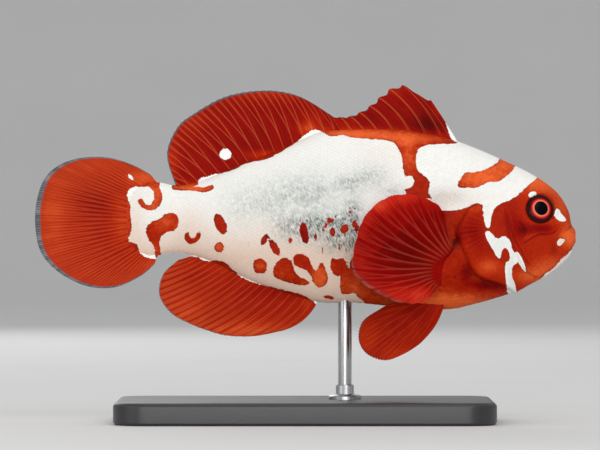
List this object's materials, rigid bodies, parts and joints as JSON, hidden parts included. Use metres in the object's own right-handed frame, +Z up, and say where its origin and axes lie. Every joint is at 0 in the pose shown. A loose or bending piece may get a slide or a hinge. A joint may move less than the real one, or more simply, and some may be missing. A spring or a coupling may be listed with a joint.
{
  "type": "lightning maroon clownfish model",
  "caption": "Still, life-size model of a maroon clownfish of the lightning colour form, swimming level on a plain display stand: a flat base and a short rod.",
  "frame": {"origin": "on the ground under the middle of the fish's total length, in its plane of symmetry", "axes": "+X towards the snout, +Y to the fish's left, +Z up"},
  "size_m": [0.12, 0.05, 0.0751],
  "materials": {
    "skin": "satin, moist",
    "fins": "satin",
    "eyes": "gloss",
    "stand_board": "satin",
    "stand_steel": "brushed"
  },
  "bodies": {
    "root": {"head": "skin", "lower_jaw": "skin", "gill_cover_right": "skin", "gill_cover_left": "skin", "eye_right": "eyes", "eye_left": "eyes", "trunk": "skin", "tail_stock": "skin", "dorsal_fin_spiny": "fins", "dorsal_fin_soft": "fins", "caudal_fin": "fins", "anal_fin": "fins", "pectoral_fin_right": "fins", "pectoral_fin_left": "fins", "pelvic_fin_right": "fins", "pelvic_fin_left": "fins", "stand_base": "stand_board", "stand_rod": "stand_steel"}
  },
  "joints": []
}
